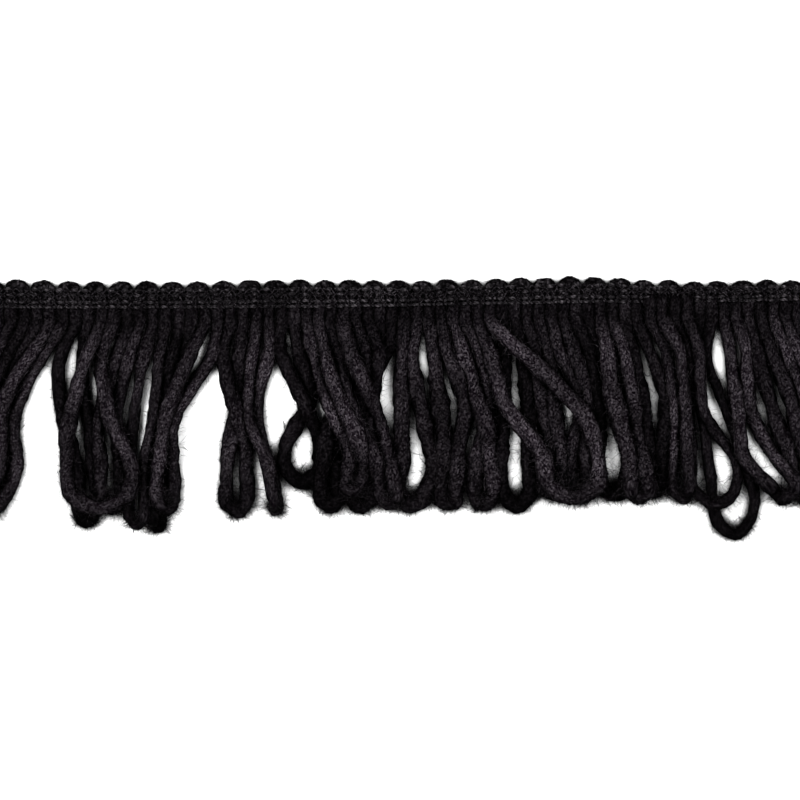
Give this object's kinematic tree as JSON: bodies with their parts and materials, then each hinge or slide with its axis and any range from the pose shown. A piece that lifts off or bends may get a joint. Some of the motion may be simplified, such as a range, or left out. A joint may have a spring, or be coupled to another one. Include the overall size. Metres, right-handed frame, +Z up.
{
  "type": "loop fringe trim",
  "caption": "Cut length of black loop fringe trim: a narrow stitched heading with a scalloped edge carries long loops of thick, soft yarn, laid flat.",
  "frame": {"origin": "on the heading's flat back, halfway along the cut length and about halfway up the band", "axes": "+X along the heading, +Y across it towards the scalloped edge, +Z up out of the face; the loops lie towards -Y"},
  "size_m": [0.2339, 0.0659, 0.0097],
  "materials": {
    "heading_thread": "matte thread with a faint sheen",
    "fringe_yarn": "matte, fuzzy low-twist yarn"
  },
  "bodies": {
    "root": {"heading": "heading_thread", "loop_fringe": "fringe_yarn"}
  },
  "joints": []
}
